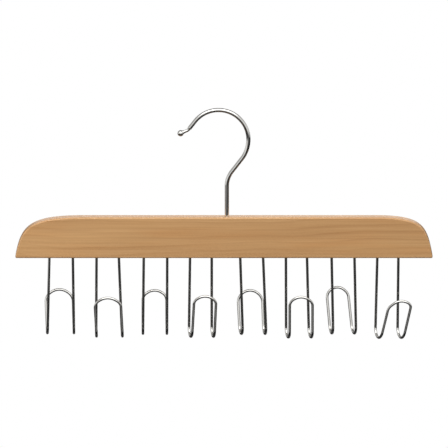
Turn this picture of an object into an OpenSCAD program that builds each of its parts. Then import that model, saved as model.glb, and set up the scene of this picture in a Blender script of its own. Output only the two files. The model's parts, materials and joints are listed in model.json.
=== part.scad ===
// Tie hanger: a wooden bar that carries bent wire tie hooks, hung from a swivel wire hook.
// Millimetres, +Z up. The origin is where the hanger rests on its rod: the inner top of the
// swivel hook's crown. +X runs along the bar, and the front of the bar faces -Y.

/* [Bar] */
// Length of the bar
bar_len = 350; // [340:1:390]
// Height of the bar
bar_h = 34.8; // [32:0.2:40]
// Thickness of the bar, front to back
bar_t = 12; // [11.5:0.5:16]
// Radius of the rounding along the edges of the bar
edge_r = 1.2; // [0.8:0.1:2.4]
// Length of the curve that rounds the bar's left upper corner
corner_l = 57; // [44:1:80]
// Length of the curve that rounds the bar's right upper corner
corner_r = 48; // [44:1:80]
// How far the middle of the bar lies to the left of the stem
bar_shift = 2.4; // [0:0.1:4]

/* [Swivel hook] */
// Diameter of the swivel hook's wire
hook_d = 3.5; // [3.2:0.1:3.8]
// Inner radius of the crown, which rests on the rod
crown_r = 23.3; // [21:0.1:26]
// How far the stem lies to the right of the crown's top
stem_x = 7; // [5:0.5:9]
// Distance from the crown's inner top down to the top of the bar
stem_drop = 88.8; // [84:0.2:110]
// Diameter of the ball on the free tip
ball_d = 5.2; // [4.6:0.1:6]
// Diameter of the neck between the wire and the ball
neck_d = 2.6; // [1.8:0.1:2.8]
// Running clearance round the stem, on the radius
play = 0.06; // [0.03:0.01:0.1]

/* [Tie hooks] */
// Diameter of the tie hooks' wire
wire_d = 2.2; // [1.8:0.1:2.4]
// Distance between the two holes of one hook
leg_gap = 18.7; // [17.5:0.1:20]
// Distance from one hook's middle to the next
pitch = 38.6; // [37:0.1:40]
// Distance from the stem to the middle of the nearest hook on each side
first_x = 21.3; // [20.5:0.1:23]
// Drop from the bar's underside to the lowest point of the hook's centreline
leg_drop = 66.8; // [60:0.2:90]
// Distance from a leg to its upright across the bottom bend
bend_w = 13; // [11:0.5:18]
// Height of the arch's centreline above the bottom bend
arch_h = 35.5; // [32:0.5:45]
// How far the arch leans away from the legs
flare = 5; // [0:0.5:6]
// Length of leg pressed into the bar
leg_in = 14; // [10:0.5:18]
// Interference of a leg in its hole, on the radius
grip = 0.02; // [0:0.01:0.04]

/* [Nut and washer] */
// Diameter of the pocket in the bar's underside that holds the nut
pocket_d = 9; // [8.8:0.1:9.4]
// Depth of that pocket
pocket_h = 10; // [8:0.5:12]
// Outer diameter of the washer
washer_d = 8; // [7.4:0.1:8.4]
// Thickness of the washer
washer_t = 0.8; // [0.5:0.1:1.2]
// Width of the nut across its flats
nut_w = 7; // [6.4:0.1:7.2]
// Height of the nut
nut_h = 2.8; // [2:0.1:3.2]
// Gap between the washer and the nut that lets the hook turn
end_play = 0.2; // [0.1:0.05:0.4]

/* [Hidden] */

wood = [0.78, 0.61, 0.42];
chrome = [0.80, 0.81, 0.82];

hr = hook_d / 2;
wr = wire_d / 2;
bar_top = -stem_drop;
bar_bot = bar_top - bar_h;
bar_x = stem_x - bar_shift;
pocket_top = bar_bot + pocket_h;
washer_bot = pocket_top - washer_t;
nut_top = washer_bot - end_play;
stem_end = nut_top - nut_h - 1;

// The hooks are bent by hand, so each differs a little from the nominal one. One row a hook,
// from left to right, in millimetres, and the eleventh number in degrees:
// [facing (1 back, -1 front), shift of its holes, change of the gap between its holes,
//  drift of its bends, change of the gap at the bends, sideways skew across the bend,
//  sideways lean up to the arch, change of the gap at the arch,
//  change of the bend's height, change of the arch's height, rise of the arch's sides]
// A twelfth number, where there is one, is how much higher the right shoulder of the arch is.
HOOKS = [
    [ 1, -2.0,  1.0, -0.5, 3.5, -0.4, -1.0,  4.2,  0.2, -0.3, 36],
    [-1, -1.5,  0.0,  1.0, 3.0,  0.7, -1.5,  3.1,  0.3, -0.3, 30],
    [ 1,  0.0,  1.0, -0.5, 1.5, -0.2, -0.2,  1.2, -0.3, -1.1, 32],
    [-1, -0.5, -0.5, -0.5, 0.5,  2.5,  1.6, -0.3,  0.1,  1.2, 30],
    [ 1, -0.5,  0.5,  2.5, 1.0, -2.4, -1.3,  1.8, -0.4, -1.1, 42],
    [-1, -1.5, -1.0,  1.0, 0.5,  2.9,  0.0,  0.4, -0.5,  0.5, 32],
    [ 1, -1.0,  0.5,  1.5, 0.5, -2.7, -3.2, -0.7,  0.0,  1.5, 42],
    [-1, -2.0, -1.0, -1.0, 0.0,  4.6,  6.4,  0.5, -0.8, -3.2, 31, 3],
];

// ---- wire made of straight runs and round bends -------------------------------------------

function unit(v) = v / norm(v);
function turn(a, b, c) = acos(max(-1, min(1, unit(b - a) * unit(c - b))));
// Length that a bend of radius r takes off each side of the corner b
function trim(a, b, c, r) = r * tan(turn(a, b, c) / 2);

// Puts its children at p, with their +Z along w
module aim(p, w) {
    k = abs(w[1]) < 0.9 ? [0, 1, 0] : [1, 0, 0];
    u = unit(cross(k, w));
    v = cross(w, u);
    multmatrix([[u[0], v[0], w[0], p[0]],
                [u[1], v[1], w[1], p[1]],
                [u[2], v[2], w[2], p[2]]])
        children();
}

// Straight run of wire from p to q
module run(p, q, r) aim(p, unit(q - p)) cylinder(h = norm(q - p), r = r, $fn = 48);

// Each run and each bend stops GAP short of the next one, and a joint a hair wider than the
// wire bridges them, so that no two surfaces are tangent where they meet. Its poles lie along
// the wire, inside it.
GAP = 0.05;
module joint(p, w, r) aim(p, w) rotate([0, 0, 40]) sphere(r = r + 0.03, $fn = 48);

// Part of a ring of centreline radius R, from its +X side through the angle a
module arc(R, a, r) {
    g = GAP / R * 180 / PI;
    rotate([0, 0, g]) rotate_extrude(angle = a - 2 * g, $fn = 96)
        translate([R, 0]) circle(r = r, $fn = 48);
}

// Round bend of centreline radius R where the run from a to b turns towards c
module bend(a, b, c, R, r) {
    d = unit(b - a);
    n = unit(cross(d, unit(c - b)));
    w = cross(n, d);
    o = b - d * trim(a, b, c, R) + w * R;
    multmatrix([[-w[0], d[0], n[0], o[0]],
                [-w[1], d[1], n[1], o[1]],
                [-w[2], d[2], n[2], o[2]]])
        arc(R, turn(a, b, c), r);
}

// A wire along the corner points P, with bend radius R[i] at the corner P[i]
module wire(P, R, r) {
    n = len(P);
    T = [for (i = [0 : n - 1]) i == 0 || i == n - 1 ? 0 : trim(P[i - 1], P[i], P[i + 1], R[i])];
    for (i = [0 : n - 2]) {
        d = unit(P[i + 1] - P[i]);
        p = P[i] + d * T[i];
        q = P[i + 1] - d * T[i + 1];
        if (norm(q - p) < 0.3) joint((p + q) / 2, d, r);
        else {
            run(i == 0 ? p : p + d * GAP, i == n - 2 ? q : q - d * GAP, r);
            if (i > 0) joint(p, d, r);
            if (i < n - 2) joint(q, d, r);
        }
    }
    for (i = [1 : n - 2]) bend(P[i - 1], P[i], P[i + 1], R[i], r);
}

// ---- tie hooks ------------------------------------------------------------------------------

function hook_mid(k) = stem_x + (k < 4 ? -first_x - (3 - k) * pitch : first_x + (k - 4) * pitch);
function low_z(k) = bar_bot - leg_drop + HOOKS[k][8];
function top_z(k) = bar_bot - leg_drop + arch_h + HOOKS[k][9];
function arch_gap(k) = leg_gap + HOOKS[k][7];
// The uprights and the arch lie in one plane, which leans away from the legs
function up_y(k, z) = HOOKS[k][0] * (bend_w + flare * (z - low_z(k)) / arch_h);

// Mouth of the hole of one leg, with e = -1 for the left leg and 1 for the right one
function mouth(k, e) = [hook_mid(k) + HOOKS[k][1] + e * (leg_gap + HOOKS[k][2]) / 2, 0, bar_bot];
// Corner of the leg at the bottom bend
function foot(k, e) = [hook_mid(k) + HOOKS[k][1] + HOOKS[k][3] + e * (leg_gap + HOOKS[k][4]) / 2,
                       0, low_z(k)];
// Top end of the leg, inside the bar
function leg_end(k, e, l) = mouth(k, e) + unit(mouth(k, e) - foot(k, e)) * l;
function up_mid(k) = hook_mid(k) + HOOKS[k][1] + HOOKS[k][3] + HOOKS[k][5];
// Corner of the upright at the bottom bend
function heel(k, e) = [up_mid(k) + e * (2 * leg_gap + HOOKS[k][4] + HOOKS[k][7]) / 4,
                       up_y(k, low_z(k)), low_z(k)];
// The arch's two sides rise from the shoulders to the peak: the steeper, the rounder the arch
function rise(k) = HOOKS[k][10];
function tilt(k) = len(HOOKS[k]) > 11 ? HOOKS[k][11] : 0;
function shoulder_r(k, e) = arch_gap(k) * (0.32 + 0.01 * (rise(k) - 30)) * (1 - 0.1 * e * tilt(k));
function peak_r(k) = arch_gap(k) * (0.55 - 0.005 * (rise(k) - 30));
function shoulder_z(k) = top_z(k) - arch_gap(k) * tan(rise(k)) / 2
    + peak_r(k) * (1 / cos(rise(k)) - 1);
function peak_z(k) = shoulder_z(k) + arch_gap(k) * tan(rise(k)) / 2;
function shoulder(k, e) = let (z = shoulder_z(k) + e * tilt(k) / 2)
    [up_mid(k) + HOOKS[k][6] + e * arch_gap(k) / 2, up_y(k, z), z];
function peak(k) = [up_mid(k) + HOOKS[k][6], up_y(k, peak_z(k)), peak_z(k)];
// The two bends at the bottom meet in a half circle
function bend_r(k, e) = (norm(heel(k, e) - foot(k, e)) - 0.02)
    / (tan(turn(mouth(k, e), foot(k, e), heel(k, e)) / 2)
       + tan(turn(foot(k, e), heel(k, e), shoulder(k, e)) / 2));

module tie_hook(k) {
    L = bend_r(k, -1);
    R = bend_r(k, 1);
    color(chrome) wire(
        [leg_end(k, -1, leg_in), foot(k, -1), heel(k, -1), shoulder(k, -1), peak(k),
         shoulder(k, 1), heel(k, 1), foot(k, 1), leg_end(k, 1, leg_in)],
        [0, L, L, shoulder_r(k, -1), peak_r(k), shoulder_r(k, 1), R, R, 0],
        wr);
}

// ---- wooden bar -----------------------------------------------------------------------------

// Curve of one end, measured inwards from the end and upwards from the underside, for the
// middle of the rounded edge: a cubic curve of length c from the bottom corner to the flat of
// the top
function end_pt(t, c) = let (u = 1 - t, top = bar_h - edge_r)
    [u * u * u * edge_r + 3 * u * u * t * 5.9 + 3 * u * t * t * (0.4 * c - 11.2) + t * t * t * c,
     u * u * u * edge_r + 3 * u * u * t * 0.745 * top + 3 * u * t * t * top + t * t * t * top];
// The steps are finer where the curve turns faster
STEPS = [0, 0.13, 0.21, 0.27, 0.32, 0.37, 0.41, 0.45, 0.49, 0.53, 0.57, 0.61, 0.66, 0.71, 0.78,
         0.87, 1];

module bead() sphere(r = edge_r / cos(7.5), $fn = 24);

module blank() {
    hull()
        for (e = [-1, 1], y = [-1, 1] * (bar_t / 2 - edge_r), t = STEPS) {
            p = end_pt(t, e < 0 ? corner_l : corner_r);
            translate([bar_x + e * (bar_len / 2 - p[0]), y, bar_bot + p[1]]) bead();
        }
}

module wooden_bar() {
    color(wood) difference() {
        blank();
        // Bore for the stem
        translate([stem_x, 0, bar_bot - 1]) cylinder(h = bar_h + 2, r = hr + play, $fn = 48);
        // Pocket for the nut and the washer
        translate([stem_x, 0, bar_bot - 1]) cylinder(h = pocket_h + 1, r = pocket_d / 2, $fn = 64);
        // Blind holes for the legs, each drilled along its own leg
        for (k = [0 : 7], e = [-1, 1])
            run(leg_end(k, e, -2), leg_end(k, e, leg_in + 0.5), wr - grip);
    }
}

// ---- swivel hook ----------------------------------------------------------------------------

cr = crown_r + hr;                      // centreline radius of the crown
slope = 52.5;                           // angle of the sloping run below the crown
tip_a = 142;                            // where the crown's circle ends, towards the tip
side_r = 27;                            // radius of the wider bend below the crown's right side
neck_r = 20;                            // radius of the bend above the stem
side_t = side_r * tan((90 - slope) / 2);
// Corner where the crown's right side turns into the sloping run, and corner above the stem
side = [cr, 0, -crown_r - side_t];
neck = [stem_x, 0, side[2] - (cr - stem_x) * tan(slope)];
tip_0 = [cr * cos(tip_a), 0, -crown_r + cr * sin(tip_a)];
tip_dir = [-sin(tip_a), 0, cos(tip_a)];
tip_1 = tip_0 + tip_dir * 8;            // end of the full wire
ball_at = tip_1 + [-7.1, 0, -3.8];

module swivel_hook() {
    color(chrome) {
        // Stem, bend, sloping run and wider bend, up to the crown's right side
        wire([[stem_x, 0, stem_end], neck, side, [cr, 0, -crown_r]], [0, neck_r, side_r, 0], hr);
        // Crown
        translate([0, 0, -crown_r]) rotate([90, 0, 0]) arc(cr, tip_a, hr);
        joint(tip_0, tip_dir, hr);
        // Straight tip with a short shoulder, then the bent neck and the ball
        run(tip_0 + tip_dir * GAP, tip_1 - tip_dir * 0.3, hr);
        multmatrix([[-tip_dir[2], 0, tip_dir[0], tip_1[0] - 0.6 * tip_dir[0]],
                    [0, 1, 0, 0],
                    [tip_dir[0], 0, tip_dir[2], tip_1[2] - 0.6 * tip_dir[2]]])
            cylinder(h = 0.6, r1 = hr + 0.02, r2 = hr - 0.5, $fn = 48);
        wire([tip_1 - tip_dir * 0.8, tip_1 + tip_dir * 1.6, ball_at], [0, 2.4, 0], neck_d / 2);
        translate(ball_at) sphere(d = ball_d, $fn = 48);
    }
}

// ---- nut and washer -------------------------------------------------------------------------

module hook_washer() {
    color(chrome) translate([stem_x, 0, washer_bot]) difference() {
        cylinder(h = washer_t, d = washer_d, $fn = 64);
        translate([0, 0, -1]) cylinder(h = washer_t + 2, r = hr + play, $fn = 48);
    }
}

module hook_nut() {
    color(chrome) translate([stem_x, 0, nut_top - nut_h]) difference() {
        intersection() {
            cylinder(h = nut_h, d = nut_w / cos(30), $fn = 6);
            // The corners are turned down at both faces
            translate([0, 0, -2]) cylinder(h = nut_h + 2, r1 = nut_w / 2 + 5.5, r2 = nut_w / 2 + 0.05, $fn = 64);
            cylinder(h = nut_h + 2, r1 = nut_w / 2 + 0.05, r2 = nut_w / 2 + 5.5, $fn = 64);
        }
        translate([0, 0, -1]) cylinder(h = nut_h + 2, r = hr - 0.02, $fn = 48);
    }
}

module tie_hook_1() tie_hook(0);
module tie_hook_2() tie_hook(1);
module tie_hook_3() tie_hook(2);
module tie_hook_4() tie_hook(3);
module tie_hook_5() tie_hook(4);
module tie_hook_6() tie_hook(5);
module tie_hook_7() tie_hook(6);
module tie_hook_8() tie_hook(7);

wooden_bar();
swivel_hook();
hook_washer();
hook_nut();
tie_hook_1();
tie_hook_2();
tie_hook_3();
tie_hook_4();
tie_hook_5();
tie_hook_6();
tie_hook_7();
tie_hook_8();
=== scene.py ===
import json
import math

import bmesh
import bpy
from mathutils import Matrix, Vector


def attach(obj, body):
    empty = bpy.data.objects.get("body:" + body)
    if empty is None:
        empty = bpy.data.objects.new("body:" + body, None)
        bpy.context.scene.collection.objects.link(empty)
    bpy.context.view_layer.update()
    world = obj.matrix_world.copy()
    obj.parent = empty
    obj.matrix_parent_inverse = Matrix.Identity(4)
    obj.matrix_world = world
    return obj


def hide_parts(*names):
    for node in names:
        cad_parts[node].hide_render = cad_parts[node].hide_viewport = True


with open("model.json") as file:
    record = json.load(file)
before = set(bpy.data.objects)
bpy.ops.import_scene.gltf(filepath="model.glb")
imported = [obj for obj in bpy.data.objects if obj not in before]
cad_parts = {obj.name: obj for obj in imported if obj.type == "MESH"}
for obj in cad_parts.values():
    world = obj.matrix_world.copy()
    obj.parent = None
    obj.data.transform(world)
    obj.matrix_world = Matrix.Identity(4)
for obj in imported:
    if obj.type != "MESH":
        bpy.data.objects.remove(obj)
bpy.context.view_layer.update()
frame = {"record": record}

MM = 0.001
BODY_OF = {n: b for b, ns in (frame["record"].get("behaviour") or {}).get("bodies", {}).items() for n in ns}

# ---- the same sizes as the CAD source, in millimetres -----------------------------------------

BAR_LEN, BAR_H, BAR_T, EDGE_R, CORNER_L, CORNER_R, BAR_SHIFT = 350, 34.8, 12, 1.2, 57, 48, 2.4
HOOK_D, CROWN_R, STEM_X, STEM_DROP, BALL_D, NECK_D, PLAY = 3.5, 23.3, 7, 88.8, 5.2, 2.6, 0.06
WIRE_D, LEG_GAP, PITCH, FIRST_X, LEG_DROP = 2.2, 18.7, 38.6, 21.3, 66.8
BEND_W, ARCH_H, FLARE, LEG_IN, GRIP = 13, 35.5, 5, 14, 0.02
POCKET_D, POCKET_H, WASHER_D, WASHER_T, NUT_W, NUT_H, END_PLAY = 9, 10, 8, 0.8, 7, 2.8, 0.2
HOOKS = [
    [1, -2.0, 1.0, -0.5, 3.5, -0.4, -1.0, 4.2, 0.2, -0.3, 36],
    [-1, -1.5, 0.0, 1.0, 3.0, 0.7, -1.5, 3.1, 0.3, -0.3, 30],
    [1, 0.0, 1.0, -0.5, 1.5, -0.2, -0.2, 1.2, -0.3, -1.1, 32],
    [-1, -0.5, -0.5, -0.5, 0.5, 2.5, 1.6, -0.3, 0.1, 1.2, 30],
    [1, -0.5, 0.5, 2.5, 1.0, -2.4, -1.3, 1.8, -0.4, -1.1, 42],
    [-1, -1.5, -1.0, 1.0, 0.5, 2.9, 0.0, 0.4, -0.5, 0.5, 32],
    [1, -1.0, 0.5, 1.5, 0.5, -2.7, -3.2, -0.7, 0.0, 1.5, 42],
    [-1, -2.0, -1.0, -1.0, 0.0, 4.6, 6.4, 0.5, -0.8, -3.2, 31, 3],
]
HR, WR = HOOK_D / 2, WIRE_D / 2
BAR_TOP = -STEM_DROP
BAR_BOT = BAR_TOP - BAR_H
BAR_X = STEM_X - BAR_SHIFT
POCKET_TOP = BAR_BOT + POCKET_H
WASHER_BOT = POCKET_TOP - WASHER_T
NUT_TOP = WASHER_BOT - END_PLAY
STEM_END = NUT_TOP - NUT_H - 1


def V(*c):
    return Vector(c)


def turn(a, b, c):
    return math.acos(max(-1.0, min(1.0, (b - a).normalized().dot((c - b).normalized()))))


def hook_mid(k):
    return STEM_X + (-FIRST_X - (3 - k) * PITCH if k < 4 else FIRST_X + (k - 4) * PITCH)


def hook_path(k):
    """Corner points and bend radii of one tie hook, as in the CAD source."""
    side, shift, d_gap, drift, d_bend, skew, lean, d_arch, d_low, d_top, rise, tilt = (HOOKS[k] + [0])[:12]
    low = BAR_BOT - LEG_DROP + d_low
    top = BAR_BOT - LEG_DROP + ARCH_H + d_top
    gap = LEG_GAP + d_arch
    a = math.radians(rise)
    r_shoulder = gap * (0.32 + 0.01 * (rise - 30))
    r_peak = gap * (0.55 - 0.005 * (rise - 30))
    z_sh = top - gap * math.tan(a) / 2 + r_peak * (1 / math.cos(a) - 1)
    z_pk = z_sh + gap * math.tan(a) / 2
    x0 = hook_mid(k) + shift
    x1 = x0 + drift + skew

    def up_y(z):
        return side * (BEND_W + FLARE * (z - low) / ARCH_H)

    def mouth(e):
        return V(x0 + e * (LEG_GAP + d_gap) / 2, 0, BAR_BOT)

    def foot(e):
        return V(x0 + drift + e * (LEG_GAP + d_bend) / 2, 0, low)

    def heel(e):
        return V(x1 + e * (2 * LEG_GAP + d_bend + d_arch) / 4, up_y(low), low)

    def shoulder(e):
        z = z_sh + e * tilt / 2
        return V(x1 + lean + e * gap / 2, up_y(z), z)

    def leg_end(e, l):
        return mouth(e) + (mouth(e) - foot(e)).normalized() * l

    def bend_r(e):
        return ((heel(e) - foot(e)).length - 0.02) / (
            math.tan(turn(mouth(e), foot(e), heel(e)) / 2)
            + math.tan(turn(foot(e), heel(e), shoulder(e)) / 2)
        )

    L, R = bend_r(-1), bend_r(1)
    pts = [
        leg_end(-1, LEG_IN), foot(-1), heel(-1), shoulder(-1),
        V(x1 + lean, up_y(z_pk), z_pk),
        shoulder(1), heel(1), foot(1), leg_end(1, LEG_IN),
    ]
    return pts, [0, L, L, r_shoulder * (1 + 0.1 * tilt), r_peak, r_shoulder * (1 - 0.1 * tilt), R, R, 0], [(mouth(e), leg_end(e, 1) - mouth(e)) for e in (-1, 1)]


def smooth_line(pts, radii, deg=4.0, step=2.5):
    """Points along a line with round bends, as (point, tangent)."""
    out = []
    n = len(pts)
    last = pts[0]
    for i in range(1, n):
        a, b = last, pts[i]
        d = (pts[i] - pts[i - 1]).normalized()
        if i < n - 1 and radii[i] > 0:
            th = turn(pts[i - 1], pts[i], pts[i + 1])
            cut = radii[i] * math.tan(th / 2)
            end = pts[i] - d * cut
        else:
            th, end = 0, pts[i]
        m = max(1, int(round((end - a).length / step)))
        for j in range(m):
            out.append((a + (end - a) * (j / m), d.copy()))
        if th:
            d2 = (pts[i + 1] - pts[i]).normalized()
            nrm = d.cross(d2).normalized()
            w = nrm.cross(d)
            o = end + w * radii[i]
            m = max(4, int(math.degrees(th) / deg))
            for j in range(m):
                t = th * j / m
                out.append((o + radii[i] * (d * math.sin(t) - w * math.cos(t)), d * math.cos(t) + w * math.sin(t)))
            last = pts[i] + d2 * cut
        else:
            last = pts[i]
    out.append((pts[-1], (pts[-1] - pts[-2]).normalized()))
    # no two points closer than a hair
    kept = [out[0]]
    for p in out[1:]:
        if (p[0] - kept[-1][0]).length > 0.02:
            kept.append(p)
    return kept


def frames_along(line, start=None):
    """Adds a side vector that turns as little as possible along the line."""
    t = line[0][1]
    u = start or (V(0, 1, 0) if abs(t.y) < 0.9 else V(1, 0, 0))
    u = (u - t * u.dot(t)).normalized()
    out = []
    for p, t in line:
        u = (u - t * u.dot(t)).normalized()
        out.append((p, t, u.copy(), t.cross(u)))
    return out


def new_object(name, bm, body):
    me = bpy.data.meshes.new(name)
    bm.to_mesh(me)
    bm.free()
    ob = bpy.data.objects.new(name, me)
    bpy.context.scene.collection.objects.link(ob)
    if body:
        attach(ob, body)
    return ob


def tube(line, radius, sides=28, cap=True, twist=None):
    """A closed tube in metres. radius is a number or a function of (arc length, angle). Carries a
    UV map: along the wire and round it, both in metres."""
    fr = frames_along(line)
    s, lens = 0.0, []
    for i, (p, *_rest) in enumerate(fr):
        if i:
            s += (p - fr[i - 1][0]).length
        lens.append(s)
    bm = bmesh.new()
    uvl = bm.loops.layers.uv.new("wire")
    rings = []
    for (p, t, u, v), l in zip(fr, lens):
        ring = []
        for j in range(sides):
            a = 2 * math.pi * j / sides
            r = radius(l, a) if callable(radius) else radius
            ring.append(bm.verts.new((p + (u * math.cos(a) + v * math.sin(a)) * r) * MM))
        rings.append(ring)
    r0 = radius(0, 0) if callable(radius) else radius
    for i in range(len(rings) - 1):
        for j in range(sides):
            k = (j + 1) % sides
            f = bm.faces.new((rings[i][j], rings[i][k], rings[i + 1][k], rings[i + 1][j]))
            f.smooth = True
            uv = [(lens[i], j), (lens[i], j + 1), (lens[i + 1], j + 1), (lens[i + 1], j)]
            for loop, (x, y) in zip(f.loops, uv):
                loop[uvl].uv = (x * MM, y / sides * 2 * math.pi * r0 * MM)
    if cap:
        for ring, flip in ((rings[0], True), (rings[-1], False)):
            f = bm.faces.new(ring[::-1] if flip else ring)
            f.smooth = True
            for loop in f.loops:
                c = loop.vert.co
                loop[uvl].uv = (c.x + c.z, c.y)
    bmesh.ops.recalc_face_normals(bm, faces=bm.faces)
    return bm


def lathe(profile, centre, sides=96):
    """Closed ring turned round Z. profile: closed list of (radius, z) in millimetres, where the
    radius may be a function of the angle."""
    bm = bmesh.new()
    rings = []
    for r, z in profile:
        ring = []
        for j in range(sides):
            a = 2 * math.pi * j / sides
            rr = r(a) if callable(r) else r
            zz = z(a) if callable(z) else z
            ring.append(bm.verts.new((centre + V(rr * math.cos(a), rr * math.sin(a), zz)) * MM))
        rings.append(ring)
    n = len(rings)
    for i in range(n):
        for j in range(sides):
            k = (j + 1) % sides
            f = bm.faces.new((rings[i][j], rings[i][k], rings[(i + 1) % n][k], rings[(i + 1) % n][j]))
            f.smooth = True
    bmesh.ops.recalc_face_normals(bm, faces=bm.faces)
    return bm


# ---- camera ---------------------------------------------------------------------------------------

ELEV = math.radians(11.3)
DIST = 8.0
cam_data = bpy.data.cameras.new("view")
cam = bpy.data.objects.new("view", cam_data)
bpy.context.scene.collection.objects.link(cam)
cam_data.sensor_width = 36
cam_data.lens = 36 * DIST / 0.3757
target = V(4.6, 0, -95.45) * MM
cam.location = target + V(0, -math.cos(ELEV), math.sin(ELEV)) * DIST
cam.rotation_mode = "QUATERNION"
cam.rotation_quaternion = (target - cam.location).to_track_quat("-Z", "Y")
bpy.context.scene.camera = cam

# ---- node helpers ---------------------------------------------------------------------------------


class Nodes:
    """Short calls for building a material."""

    def __init__(self, name):
        self.mat = bpy.data.materials.new(name)
        self.mat.use_nodes = True
        self.tree = self.mat.node_tree
        self.tree.nodes.clear()
        self.out = self.tree.nodes.new("ShaderNodeOutputMaterial")

    def new(self, kind, **sets):
        n = self.tree.nodes.new(kind)
        for k, v in sets.items():
            setattr(n, k, v)
        return n

    def link(self, a, b):
        self.tree.links.new(a, b)

    def put(self, value, socket):
        if isinstance(value, bpy.types.NodeSocket):
            self.link(value, socket)
        else:
            socket.default_value = value

    def math(self, op, a, b=0.0, c=None, clamp=False):
        n = self.new("ShaderNodeMath", operation=op, use_clamp=clamp)
        self.put(a, n.inputs[0])
        self.put(b, n.inputs[1])
        if c is not None:
            self.put(c, n.inputs[2])
        return n.outputs[0]

    def noise(self, vec, scale, detail=2.0, rough=0.5, distort=0.0, dims="3D"):
        n = self.new("ShaderNodeTexNoise", noise_dimensions=dims)
        self.put(vec, n.inputs["Vector"])
        n.inputs["Scale"].default_value = scale
        n.inputs["Detail"].default_value = detail
        n.inputs["Roughness"].default_value = rough
        n.inputs["Distortion"].default_value = distort
        return n.outputs["Fac"]

    def mapped(self, vec, scale=(1, 1, 1), loc=(0, 0, 0), rot=(0, 0, 0)):
        n = self.new("ShaderNodeMapping")
        self.put(vec, n.inputs["Vector"])
        n.inputs["Scale"].default_value = scale
        n.inputs["Location"].default_value = loc
        n.inputs["Rotation"].default_value = rot
        return n.outputs[0]

    def ramp(self, fac, stops, interp="LINEAR"):
        n = self.new("ShaderNodeValToRGB")
        n.color_ramp.interpolation = interp
        el = n.color_ramp.elements
        while len(el) < len(stops):
            el.new(0.5)
        for e, (p, c) in zip(el, stops):
            e.position = p
            e.color = (*c, 1) if len(c) == 3 else c
        self.put(fac, n.inputs[0])
        return n.outputs[0]

    def mix(self, fac, a, b, blend="MIX"):
        n = self.new("ShaderNodeMix", data_type="RGBA", blend_type=blend)
        n.clamp_factor = True
        self.put(fac, n.inputs[0])
        self.put(a if isinstance(a, bpy.types.NodeSocket) else (*a, 1), n.inputs[6])
        self.put(b if isinstance(b, bpy.types.NodeSocket) else (*b, 1), n.inputs[7])
        return n.outputs[2]

    def remap(self, v, a, b, c, d):
        n = self.new("ShaderNodeMapRange")
        n.clamp = True
        self.put(v, n.inputs[0])
        for i, x in enumerate((a, b, c, d)):
            n.inputs[1 + i].default_value = x
        return n.outputs[0]


def srgb(r, g, b):
    def f(c):
        c /= 255
        return c / 12.92 if c <= 0.04045 else ((c + 0.055) / 1.055) ** 2.4

    return (f(r), f(g), f(b))


# ---- materials ------------------------------------------------------------------------------------


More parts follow.
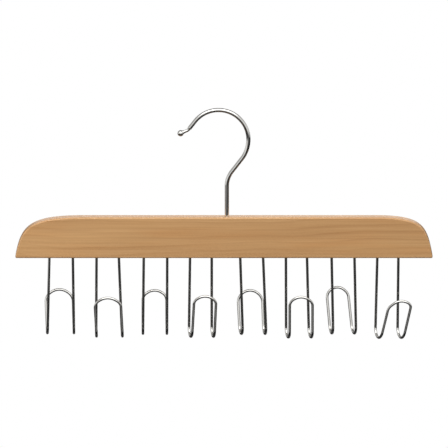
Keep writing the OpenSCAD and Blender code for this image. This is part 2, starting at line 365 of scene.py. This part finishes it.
def wood_material():
    m = Nodes("lacquered_wood")
    co = m.new("ShaderNodeTexCoord").outputs["Object"]
    # the board is cut from a large tree: long, nearly straight rings far from the heart
    warp = m.noise(m.mapped(co, (6, 22, 22), (1.7, 0, 0)), 1.0, 2, 0.5)
    warp2 = m.noise(m.mapped(co, (22, 90, 90), (3, 1, 7)), 1.0, 3, 0.55)
    sep = m.new("ShaderNodeSeparateXYZ")
    m.link(m.mapped(co, (1, 1, 1), (0, 0.045, 0.19), (0, math.radians(0.5), 0)), sep.inputs[0])
    d = m.math("SQRT", m.math("ADD", m.math("MULTIPLY", sep.outputs[1], sep.outputs[1]), m.math("MULTIPLY", sep.outputs[2], sep.outputs[2])))
    d = m.math("ADD", d, m.math("MULTIPLY", warp, 0.020))
    d = m.math("ADD", d, m.math("MULTIPLY", warp2, 0.0022))
    fr = m.math("FRACT", m.math("MULTIPLY", d, 1 / 0.0062))
    # late wood: a line that darkens slowly and ends sharply
    ring = m.math("MULTIPLY", m.remap(fr, 0.35, 0.93, 0, 1), m.remap(fr, 0.93, 1.0, 1, 0))
    ring = m.math("POWER", ring, 2.2)
    fr2 = m.math("FRACT", m.math("MULTIPLY", d, 1 / 0.0023))
    ring2 = m.math("MULTIPLY", m.remap(fr2, 0.3, 0.9, 0, 1), m.remap(fr2, 0.9, 1.0, 1, 0))
    # fibres: very long and thin along X
    fibre = m.noise(m.mapped(co, (9, 900, 900)), 1.0, 3, 0.6)
    streak = m.noise(m.mapped(co, (5, 260, 260), (2, 5, 1)), 1.0, 3, 0.55)
    broad = m.noise(m.mapped(co, (5, 26, 60), (7, 2, 4)), 1.0, 3, 0.5)
    patch = m.noise(m.mapped(co, (11, 60, 110), (1, 8, 2)), 1.0, 2, 0.5)
    # pores: short dark dashes
    vo = m.new("ShaderNodeTexVoronoi", feature="F1")
    m.link(m.mapped(co, (420, 5200, 5200)), vo.inputs["Vector"])
    vo.inputs["Scale"].default_value = 1.0
    pore = m.remap(vo.outputs["Distance"], 0.12, 0.34, 1, 0)
    pore = m.math("MULTIPLY", pore, m.remap(streak, 0.42, 0.62, 0, 1))
    base = m.ramp(broad, [(0.28, srgb(201, 155, 106)), (0.5, srgb(207, 162, 112)), (0.72, srgb(213, 167, 115))])
    base = m.mix(m.remap(patch, 0.48, 0.70, 0, 0.5), base, srgb(207, 153, 99))
    base = m.mix(m.math("MULTIPLY", ring, m.remap(broad, 0.3, 0.7, 0.34, 0.14)), base, srgb(158, 109, 64))
    base = m.mix(m.math("MULTIPLY", ring2, m.remap(patch, 0.3, 0.7, 0.10, 0.02)), base, srgb(160, 112, 66))
    base = m.mix(m.remap(streak, 0.44, 0.72, 0, 0.26), base, srgb(170, 121, 75))
    base = m.mix(m.remap(fibre, 0.45, 0.75, 0, 0.22), base, srgb(160, 112, 70))
    base = m.mix(m.remap(fibre, 0.30, 0.50, 0.12, 0), base, srgb(226, 186, 140))
    base = m.mix(m.math("MULTIPLY", pore, 0.30), base, srgb(138, 92, 55))
    bsdf = m.new("ShaderNodeBsdfPrincipled")
    m.link(base, bsdf.inputs["Base Color"])
    m.link(m.remap(fibre, 0.3, 0.7, 0.36, 0.50), bsdf.inputs["Roughness"])
    bsdf.inputs["Coat Weight"].default_value = 0.7
    bsdf.inputs["Coat Roughness"].default_value = 0.16
    bsdf.inputs["Coat IOR"].default_value = 1.5
    bsdf.inputs["Specular IOR Level"].default_value = 0.35
    height = m.math("ADD", m.math("MULTIPLY", fibre, 0.6), m.math("MULTIPLY", pore, -0.7))
    bump = m.new("ShaderNodeBump")
    bump.inputs["Strength"].default_value = 0.22
    bump.inputs["Distance"].default_value = 0.00008
    m.link(height, bump.inputs["Height"])
    m.link(bump.outputs[0], bsdf.inputs["Normal"])
    # the lacquer levels the surface, with a slow waviness of its own
    coat = m.new("ShaderNodeBump")
    coat.inputs["Strength"].default_value = 0.12
    coat.inputs["Distance"].default_value = 0.0002
    m.link(m.noise(m.mapped(co, (60, 300, 300)), 1.0, 2, 0.5), coat.inputs["Height"])
    m.link(coat.outputs[0], bsdf.inputs["Coat Normal"])
    m.link(bsdf.outputs[0], m.out.inputs[0])
    return m.mat


def chrome_material(name, tint=(0.83, 0.82, 0.785), rough=(0.03, 0.08)):
    m = Nodes(name)
    tc = m.new("ShaderNodeTexCoord")
    uv, co = tc.outputs["UV"], tc.outputs["Object"]
    # drawing marks run along the wire, under the plating
    draw = m.noise(m.mapped(uv, (60, 9000, 1)), 1.0, 3, 0.6)
    cloud = m.noise(co, 260.0, 3, 0.6)
    speck = m.noise(co, 2600.0, 2, 0.6)
    bsdf = m.new("ShaderNodeBsdfPrincipled")
    bsdf.inputs["Metallic"].default_value = 1.0
    col = m.mix(m.remap(cloud, 0.35, 0.7, 0, 0.5), tint, tuple(c * 0.93 for c in tint))
    m.link(col, bsdf.inputs["Base Color"])
    r = m.remap(draw, 0.3, 0.7, rough[0], rough[1])
    r = m.math("ADD", r, m.remap(speck, 0.62, 0.75, 0, 0.08))
    m.link(r, bsdf.inputs["Roughness"])
    bump = m.new("ShaderNodeBump")
    bump.inputs["Strength"].default_value = 0.10
    bump.inputs["Distance"].default_value = 0.00004
    m.link(m.math("ADD", m.math("MULTIPLY", draw, 0.7), m.math("MULTIPLY", cloud, 0.5)), bump.inputs["Height"])
    m.link(bump.outputs[0], bsdf.inputs["Normal"])
    m.link(bsdf.outputs[0], m.out.inputs[0])
    return m.mat


def zinc_material():
    m = Nodes("zinc_steel")
    co = m.new("ShaderNodeTexCoord").outputs["Object"]
    cloud = m.noise(co, 900.0, 3, 0.6)
    fine = m.noise(co, 6000.0, 2, 0.6)
    bsdf = m.new("ShaderNodeBsdfPrincipled")
    bsdf.inputs["Metallic"].default_value = 1.0
    m.link(m.mix(m.remap(cloud, 0.3, 0.7, 0, 1), (0.62, 0.62, 0.60), (0.74, 0.73, 0.69)), bsdf.inputs["Base Color"])
    m.link(m.remap(fine, 0.3, 0.7, 0.22, 0.38), bsdf.inputs["Roughness"])
    bump = m.new("ShaderNodeBump")
    bump.inputs["Strength"].default_value = 0.2
    bump.inputs["Distance"].default_value = 0.00003
    m.link(fine, bump.inputs["Height"])
    m.link(bump.outputs[0], bsdf.inputs["Normal"])
    m.link(bsdf.outputs[0], m.out.inputs[0])
    return m.mat


WOOD = wood_material()
CHROME = chrome_material("chrome_wire")
ZINC = zinc_material()

# ---- wooden bar -----------------------------------------------------------------------------------


def end_curve(t, c):
    u, top = 1 - t, BAR_H - EDGE_R
    x = u**3 * EDGE_R + 3 * u * u * t * 5.9 + 3 * u * t * t * (0.4 * c - 11.2) + t**3 * c
    z = u**3 * EDGE_R + 3 * u * u * t * 0.745 * top + 3 * u * t * t * top + t**3 * top
    return x, z


def bar_outline():
    """Middle line of the edge rounding, once round, as (point, outward direction) in X and Z."""
    half = BAR_LEN / 2

    def end(c):
        out = []
        N = 64
        for i in range(N + 1):
            t = i / N
            x, z = end_curve(t, c)
            x2, z2 = end_curve(min(1, t + 1e-3), c)
            x1, z1 = end_curve(max(0, t - 1e-3), c)
            out.append((half - x, BAR_BOT + z, Vector((z2 - z1, x2 - x1)).normalized()))
        n0 = out[0][2]
        a0 = math.atan2(n0.y, n0.x)
        corner = []
        for i in range(8):
            a = -math.pi / 2 + (a0 + math.pi / 2) * i / 8
            corner.append((out[0][0], out[0][1], Vector((math.cos(a), math.sin(a)))))
        return corner + out

    right = end(CORNER_R)
    left = [(-x, z, Vector((-n.x, n.y))) for x, z, n in end(CORNER_L)][::-1]

    def between(a, b, m, n):
        return [(a[0] + (b[0] - a[0]) * i / m, a[1], Vector((0, n))) for i in range(1, m)]

    line = right + between(right[-1], left[0], 24, 1) + left + between(left[-1], right[0], 40, -1)
    return [(BAR_X + x, z, n) for x, z, n in line]


def make_bar():
    line = bar_outline()
    yh = BAR_T / 2 - EDGE_R
    STEPS = 9
    prof = []  # (outward offset, y)
    for i in range(STEPS + 1):
        a = math.pi / 2 * i / STEPS
        prof.append((EDGE_R * math.sin(a), -yh - EDGE_R * math.cos(a)))
    prof += [(o, -y) for o, y in prof[::-1]]
    bm = bmesh.new()
    rings = [[bm.verts.new(V(x + n.x * o, y, z + n.y * o) * MM) for x, z, n in line] for o, y in prof]
    m = len(line)
    for i in range(len(rings) - 1):
        for j in range(m):
            k = (j + 1) % m
            bm.faces.new((rings[i][j], rings[i][k], rings[i + 1][k], rings[i + 1][j]))
    bmesh.ops.remove_doubles(bm, verts=bm.verts, dist=1e-7)
    # front and back faces as strips between the lower and the upper half of the rim
    bm.verts.ensure_lookup_table()
    for y in (-BAR_T / 2, BAR_T / 2):
        edges = [e for e in bm.edges if e.is_boundary and all(abs(v.co.y - y * MM) < 1e-7 for v in e.verts)]
        bmesh.ops.contextual_create(bm, geom=edges)
    bmesh.ops.recalc_face_normals(bm, faces=bm.faces)
    me = bpy.data.meshes.new("bar_blank")
    bm.to_mesh(me)
    bm.free()
    blank = bpy.data.objects.new("bar_blank", me)
    bpy.context.scene.collection.objects.link(blank)

    # everything that is drilled, as one cutter
    cut = bmesh.new()

    def drill(p, d, prof, sides=40):
        """prof: (distance along d, radius) from outside to inside"""
        d = d.normalized()
        u = d.orthogonal().normalized()
        w = d.cross(u)
        rings = []
        for s, r in prof:
            rings.append([cut.verts.new((p + d * s + (u * math.cos(2 * math.pi * j / sides) + w * math.sin(2 * math.pi * j / sides)) * r) * MM) for j in range(sides)])
        for a, b in zip(rings[:-1], rings[1:]):
            for j in range(sides):
                k = (j + 1) % sides
                cut.faces.new((a[j], a[k], b[k], b[j]))
        cut.faces.new(rings[0][::-1])
        cut.faces.new(rings[-1])

    for k in range(8):
        for p, d in hook_path(k)[2]:
            drill(p, d, [(-1.5, WR + 1.6), (-0.02, WR + 0.34), (0.16, WR + 0.14), (0.5, WR + 0.05), (LEG_IN + 0.5, WR + 0.04), (LEG_IN + 1.1, 0.3)], 36)
    s = V(STEM_X, 0, 0)
    drill(
        s + V(0, 0, BAR_BOT), V(0, 0, 1),
        [(-1, POCKET_D / 2 + 1.3), (0.0, POCKET_D / 2 + 0.3), (0.3, POCKET_D / 2), (POCKET_H, POCKET_D / 2), (POCKET_H + 1e-4, HR + PLAY),
         (BAR_H - 0.5, HR + PLAY), (BAR_H, HR + PLAY + 0.5), (BAR_H + 1, HR + PLAY + 1.5)], 72,
    )
    bmesh.ops.recalc_face_normals(cut, faces=cut.faces)
    cm = bpy.data.meshes.new("bar_holes")
    cut.to_mesh(cm)
    cut.free()
    cutter = bpy.data.objects.new("bar_holes", cm)
    bpy.context.scene.collection.objects.link(cutter)
    mod = blank.modifiers.new("holes", "BOOLEAN")
    mod.operation = "DIFFERENCE"
    mod.solver = "EXACT"
    mod.object = cutter
    dg = bpy.context.evaluated_depsgraph_get()
    done = bpy.data.meshes.new_from_object(blank.evaluated_get(dg))
    for o in (blank, cutter):
        bpy.data.objects.remove(o)
    done.name = "bar"
    ob = bpy.data.objects.new("bar", done)
    bpy.context.scene.collection.objects.link(ob)
    done.shade_smooth()
    done.set_sharp_from_angle(angle=math.radians(32))
    wn = ob.modifiers.new("normals", "WEIGHTED_NORMAL")
    wn.keep_sharp = True
    wn.weight = 100
    done.materials.clear()
    done.materials.append(WOOD)
    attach(ob, BODY_OF["wooden_bar"])
    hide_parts("wooden_bar")
    return ob


make_bar()

# ---- tie hooks ------------------------------------------------------------------------------------

for k in range(8):
    pts, radii, _m = hook_path(k)
    name = f"tie_hook_{k + 1}"
    ob = new_object(f"tie_wire_{k + 1}", tube(smooth_line(pts, radii, 4.0, 2.0), WR, 32), BODY_OF[name])
    ob.data.materials.append(CHROME)
    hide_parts(name)

# ---- swivel hook ----------------------------------------------------------------------------------

CR = CROWN_R + HR
SLOPE, TIP_A, SIDE_R, NECK_BEND = math.radians(52.5), math.radians(142), 27, 20


def swivel_path():
    side_t = SIDE_R * math.tan((math.pi / 2 - SLOPE) / 2)
    side = V(CR, 0, -CROWN_R - side_t)
    neck = V(STEM_X, 0, side.z - (CR - STEM_X) * math.tan(SLOPE))
    low = smooth_line([V(STEM_X, 0, STEM_END), neck, side, V(CR, 0, -CROWN_R)], [0, NECK_BEND, SIDE_R, 0], 2.5, 0.5)
    line = low[:-1]
    n = 90
    for i in range(n):
        a = TIP_A * i / n
        line.append((V(CR * math.cos(a), 0, -CROWN_R + CR * math.sin(a)), V(-math.sin(a), 0, math.cos(a))))
    tip0 = V(CR * math.cos(TIP_A), 0, -CROWN_R + CR * math.sin(TIP_A))
    td = V(-math.sin(TIP_A), 0, math.cos(TIP_A))
    tip1 = tip0 + td * 8
    ball = tip1 + V(-7.1, 0, -3.8)
    tail = smooth_line([tip0, tip1 + td * 1.6, ball], [0, 2.4, 0], 6.0, 0.25)
    line += tail[:-1]
    bd = tail[-1][1]
    past = [(ball + bd * (BALL_D / 2 * math.sin(math.pi / 2 * i / 14)), bd.copy()) for i in range(15)]
    past[-1] = (ball + bd * (BALL_D / 2 - 0.004), bd.copy())
    return line + past, tip1, ball


line, TIP1, BALL = swivel_path()
arc = [0.0]
for a, b in zip(line[:-1], line[1:]):
    arc.append(arc[-1] + (b[0] - a[0]).length)
S_TIP = arc[min(range(len(line)), key=lambda i: (line[i][0] - TIP1).length)]
S_BALL = arc[min(range(len(line)), key=lambda i: (line[i][0] - BALL).length)]
NR, BR = NECK_D / 2, BALL_D / 2
THREAD = NUT_H + 5.5


def swivel_r(s, a):
    # thread at the lower end, with a chamfered end
    if s < THREAD:
        pitch, depth = 0.6, 0.36
        ph = (s / pitch - a / (2 * math.pi)) % 1.0
        r = HR - depth * min(1.0, max(0.0, abs(ph - 0.5) * 2 * 1.25 - 0.12))
        fade = max(0.0, (s - (THREAD - 1.2)) / 1.2)
        r = r + (HR - r) * fade
        return min(r, HR - 0.45 + s) if s < 0.45 else r
    if s < S_TIP - 0.9:
        return HR
    if s < S_TIP + 0.5:
        t = (s - (S_TIP - 0.9)) / 1.4
        t = t * t * (3 - 2 * t)
        return HR + (NR - HR) * t
    d = s - S_BALL
    if d < -BR:
        # small fillet into the ball
        t = max(0.0, 1 - (-BR - d) / 0.8)
        return NR + 0.25 * t * t
    r = math.sqrt(max(0.0, BR * BR - d * d))
    return max(r, NR + 0.25 - 0.0 * d) if d < 0 else max(r, 0.05)


swivel = new_object("swivel_wire", tube(line, swivel_r, 48), BODY_OF["swivel_hook"])
swivel.data.materials.append(CHROME)
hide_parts("swivel_hook")

# ---- washer and nut -------------------------------------------------------------------------------

c = V(STEM_X, 0, WASHER_BOT)
rb, ro, t, e = HR + PLAY, WASHER_D / 2, WASHER_T, 0.12
washer = new_object(
    "washer",
    lathe([(rb, e / 2), (rb + e / 2, 0), (ro - e, 0), (ro - e * 0.3, e * 0.3), (ro, e), (ro, t - e), (ro - e * 0.3, t - e * 0.3), (ro - e, t), (rb + e / 2, t), (rb, t - e / 2)], c),
    BODY_OF["hook_washer"],
)
washer.data.materials.append(ZINC)
washer.data.set_sharp_from_angle(angle=math.radians(40))
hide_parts("hook_washer")


def hexa(a):
    a = (a + math.pi / 6) % (math.pi / 3) - math.pi / 6
    return NUT_W / 2 / math.cos(a)


flat = NUT_W / 2 - 0.12
slope = math.tan(math.radians(28))
rb = HR - 0.02
c = V(STEM_X, 0, NUT_TOP - NUT_H)
nut = new_object(
    "nut",
    lathe(
        [(rb, 0.35), (rb + 0.35, 0), (flat, 0), (lambda a: hexa(a) - 0.03, lambda a: (hexa(a) - 0.03 - flat) * slope),
         (hexa, lambda a: (hexa(a) - flat) * slope + 0.06), (hexa, lambda a: NUT_H - (hexa(a) - flat) * slope - 0.06),
         (lambda a: hexa(a) - 0.03, lambda a: NUT_H - (hexa(a) - 0.03 - flat) * slope), (flat, NUT_H), (rb + 0.35, NUT_H), (rb, NUT_H - 0.35)],
        c, 144,
    ),
    BODY_OF["hook_nut"],
)
nut.data.materials.append(ZINC)
nut.data.set_sharp_from_angle(angle=math.radians(25))
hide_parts("hook_nut")

# ---- stage: floor, reflections, lights --------------------------------------------------------------


def emission(name, colour, strength=1.0):
    m = Nodes(name)
    e = m.new("ShaderNodeEmission")
    e.inputs[0].default_value = (*colour, 1)
    e.inputs[1].default_value = strength
    m.link(e.outputs[0], m.out.inputs[0])
    m.mat.cycles.emission_sampling = "NONE"
    return m.mat


def stage_mesh(name, bm, mat, camera, glossy):
    me = bpy.data.meshes.new(name)
    bm.to_mesh(me)
    bm.free()
    ob = bpy.data.objects.new(name, me)
    bpy.context.scene.collection.objects.link(ob)
    me.materials.append(mat)
    ob.visible_camera = camera
    ob.visible_glossy = glossy
    ob.visible_diffuse = False
    ob.visible_shadow = False
    ob.visible_transmission = False
    ob.visible_volume_scatter = False
    return ob


bm = bmesh.new()
bmesh.ops.create_circle(bm, cap_ends=True, segments=96, radius=60)
bmesh.ops.translate(bm, verts=bm.verts, vec=(0, 0, -0.62))
stage_mesh("floor", bm, emission("pale_floor", (1, 1, 1)), True, False)


DOME = 2.0


def studio_material():
    """What the chrome and the lacquer reflect: a soft box above the camera's side, a pale backdrop,
    a dark band all round below, and a lighter zone under that."""
    m = Nodes("studio")
    co = m.new("ShaderNodeTexCoord").outputs["Object"]
    sep = m.new("ShaderNodeSeparateXYZ")
    m.link(m.mapped(co, (1 / DOME,) * 3), sep.inputs[0])
    x, y, z = sep.outputs
    # azimuth, from -0.5 to 0.5: 0 at the camera's side (-Y), 0.25 at +X
    az = m.math("DIVIDE", m.math("ARCTAN2", x, m.math("MULTIPLY", y, -1)), 2 * math.pi)
    h = m.remap(z, -1.0, 1.0, 0, 1)

    def at(zz, v):
        return ((zz + 1) / 2, (v, v, v))

    front = m.ramp(h, [at(-0.99, 0.05), at(-0.92, 0.01), at(-0.62, 0.01), at(-0.58, 0.24), at(-0.46, 0.24), at(-0.40, 0.01), at(-0.30, 0.035), at(-0.25, 0.04), at(-0.225, 0.14), at(-0.19, 0.14), at(-0.16, 0.02), at(-0.12, 0.02), at(-0.07, 0.90), at(0.04, 0.95), at(0.60, 0.90), at(0.97, 0.40), at(1.0, 0.30)])
    back = m.ramp(h, [at(-0.99, 0.05), at(-0.60, 0.05), at(-0.30, 0.03), at(-0.10, 0.04), at(0.03, 0.20), at(0.11, 0.80), at(0.22, 0.80), at(0.34, 0.12), at(0.80, 0.08), at(1.0, 0.30)])
    right = m.ramp(h, [at(-0.99, 0.05), at(-0.88, 0.01), at(-0.35, 0.01), at(-0.14, 0.05), at(-0.09, 0.35), at(0.02, 0.60), at(0.12, 0.70), at(0.40, 0.60), at(0.80, 0.50), at(1.0, 0.30)])
    left = m.ramp(h, [at(-0.99, 0.05), at(-0.88, 0.01), at(-0.60, 0.05), at(-0.42, 0.01), at(-0.30, 0.05), at(-0.25, 0.06), at(-0.225, 0.33), at(-0.19, 0.36), at(-0.16, 0.75), at(-0.02, 0.85), at(0.12, 0.70), at(0.30, 0.42), at(0.80, 0.45), at(1.0, 0.30)])
    c = m.mix(m.remap(az, 0.05, 0.14, 0, 1), front, right)
    c = m.mix(m.remap(az, -0.05, -0.14, 0, 1), c, left)
    c = m.mix(m.remap(m.math("ABSOLUTE", az), 0.30, 0.40, 0, 1), c, back)
    soft = m.math("MULTIPLY", m.remap(y, -0.24, -0.36, 0, 1), m.remap(z, 0.36, 0.46, 0, 1))
    soft = m.math("MULTIPLY", soft, m.remap(m.math("ABSOLUTE", x), 0.62, 0.48, 0, 1))
    c = m.mix(soft, c, (2.6, 2.6, 2.6))
    e = m.new("ShaderNodeEmission")
    m.link(c, e.inputs[0])
    e.inputs[1].default_value = 1.0
    m.link(e.outputs[0], m.out.inputs[0])
    m.mat.cycles.emission_sampling = "NONE"
    return m.mat


bm = bmesh.new()
bmesh.ops.create_uvsphere(bm, u_segments=96, v_segments=64, radius=DOME)
for f in bm.faces:
    f.smooth = True
stage_mesh("reflections", bm, studio_material(), False, True)

world = bpy.data.worlds.new("plain")
bpy.context.scene.world = world
world.use_nodes = True
bg = world.node_tree.nodes["Background"]
bg.inputs[0].default_value = (1, 1, 1, 1)
bg.inputs[1].default_value = 1.0
world.cycles_visibility.glossy = False
world.cycles_visibility.diffuse = False


def area(name, loc, aim, size, power, colour=(1, 1, 1)):
    d = bpy.data.lights.new(name, "AREA")
    d.shape = "DISK"
    d.size = size
    d.energy = power
    d.color = colour
    o = bpy.data.objects.new(name, d)
    bpy.context.scene.collection.objects.link(o)
    o.location = loc
    o.rotation_mode = "QUATERNION"
    o.rotation_quaternion = (Vector(aim) - o.location).to_track_quat("-Z", "Y")
    o.visible_camera = False
    o.visible_glossy = False
    return o


AIM = (0, 0, -0.12)
area("key", (-0.35, -1.35, 1.35), AIM, 1.1, 36)
area("top_light", (0.3, 0.25, 1.8), AIM, 1.4, 15)
area("front_left", (-1.6, -1.9, -0.1), AIM, 1.4, 18)
area("right_side", (2.0, -0.5, 0.5), AIM, 1.2, 14)
area("left_side", (-2.0, 0.4, 0.2), AIM, 1.2, 4)
area("back_fill", (0.3, 2.0, 0.6), AIM, 1.6, 24)
area("low_fill", (0, -0.3, -1.6), AIM, 1.6, 3)

sc = bpy.context.scene
sc.view_settings.view_transform = "Standard"
sc.view_settings.look = "None"
sc.view_settings.exposure = 0
sc.view_settings.gamma = 1
